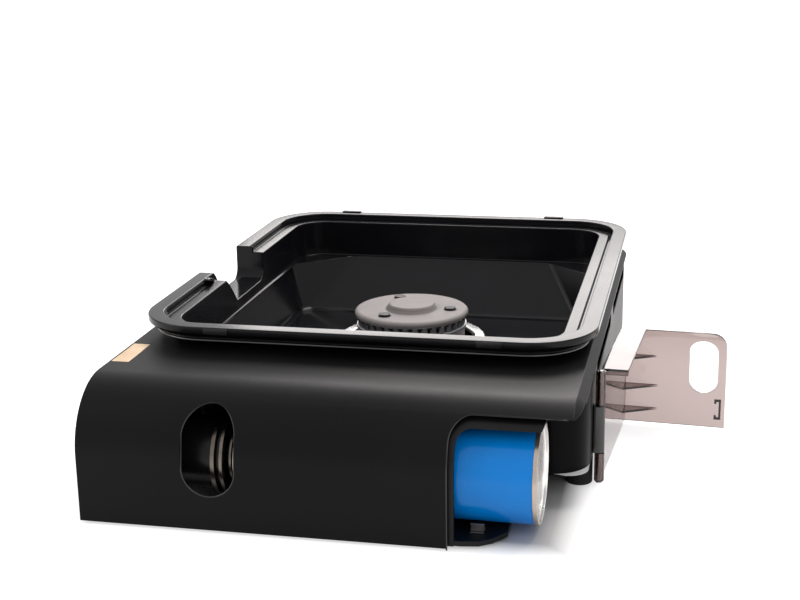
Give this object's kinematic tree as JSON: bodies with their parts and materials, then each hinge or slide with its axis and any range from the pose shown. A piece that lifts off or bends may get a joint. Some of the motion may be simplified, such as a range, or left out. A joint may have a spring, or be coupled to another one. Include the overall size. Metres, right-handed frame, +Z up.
{
  "type": "tabletop gas grill",
  "caption": "Portable tabletop gas grill with a round burner in a deep open tray, a gas canister in a front bay, a swing door over the bay and a control knob on the end.",
  "frame": {"origin": "on the ground below the middle of the object's bounding box, with the door swung open and the knob included", "axes": "+Z up, -Y towards the front with the canister bay, +X towards the door's end"},
  "size_m": [0.4344, 0.4992, 0.1122],
  "materials": {
    "housing_paint": "satin black enamel, smooth",
    "pan_paint": "gloss black enamel",
    "plate_tan": "matte tan print, bare",
    "bay_plastic": "fine grained black moulding",
    "steel": "plain sheet steel",
    "foot_rubber": "matte black rubber",
    "knob_plastic": "satin black",
    "dial_silver": "silver painted",
    "brass": "machined",
    "regulator_black": "satin black",
    "zinc": "die cast, satin",
    "ring_silver": "turned, bright",
    "magnet_steel": "nickel plated",
    "can_blue": "glossy blue print over tinplate",
    "tinplate": "bright tinplate",
    "valve_white": "white nylon",
    "burner_grey": "sand cast grey",
    "crown_silver": "turned aluminium",
    "stud_dark": "blackened",
    "ring_bright": "polished",
    "ceramic": "glazed white",
    "lead_red": "silicone sleeve",
    "tray_coat": "cast, with a glossy dark nonstick coat",
    "clip_dark": "dark plated strip",
    "door_smoke": "smoked grey brown, glossy"
  },
  "bodies": {
    "housing": {"top_cover": "housing_paint", "name_plate": "plate_tan", "base_pan": "pan_paint", "canister_bay": "bay_plastic", "can_rest": "steel", "feet": "foot_rubber", "foot_screws": "steel", "control_panel": "bay_plastic", "knob_dial": "dial_silver", "valve_block": "zinc", "regulator_bracket": "steel", "regulator_body": "regulator_black", "regulator_rings": "ring_silver", "magnet_ring": "magnet_steel", "gas_pipe": "brass", "jet_nozzle": "brass", "mixing_tube": "steel", "burner_body": "burner_grey", "burner_bracket": "steel", "burner_crown": "crown_silver", "burner_cap": "burner_grey", "cap_studs": "stud_dark", "igniter_electrode": "ceramic", "electrode_wire": "steel", "igniter_lead": "lead_red", "piezo_unit": "valve_white", "hinge_block": "bay_plastic", "hinge_pin": "steel", "hinge_screws": "steel", "cover_screws": "steel"},
    "knob": {"control_knob": "knob_plastic", "valve_spindle": "brass"},
    "plunger": {"piezo_plunger": "stud_dark"},
    "canister": {"can_shell": "can_blue", "can_base": "tinplate", "can_dome": "tinplate", "can_collar": "tinplate", "can_valve": "valve_white"},
    "tray": {"grill_tray": "tray_coat", "burner_ring": "ring_bright", "rim_clips": "clip_dark"},
    "door": {"door": "door_smoke", "door_catch": "steel"}
  },
  "joints": [
    {"name": "door_hinge", "type": "hinge", "parent": "housing", "child": "door", "pos_m": [0.13078, -0.1216, 0.043], "axis": [0, 0, 1], "range_deg": [-176, 0]},
    {"name": "knob_turn", "type": "hinge", "parent": "housing", "child": "knob", "pos_m": [-0.20522, -0.2059, 0.0403], "axis": [-1, 0, 0], "range_deg": [0, 110]},
    {"name": "plunger_slide", "type": "slide", "parent": "housing", "child": "plunger", "axis": [0, 1, 0], "range_m": [0, 0.0051]},
    {"name": "canister_slide", "type": "slide", "parent": "housing", "child": "canister", "axis": [1, 0, 0], "range_m": [0, 0.015]},
    {"name": "tray_lift", "type": "slide", "parent": "housing", "child": "tray", "axis": [0, 0, 1], "range_m": [0, 0.09]}
  ],
  "couplings": [
    {"joint": "plunger_slide", "follows": "knob_turn", "m_per_rad": 0.0026044}
  ]
}
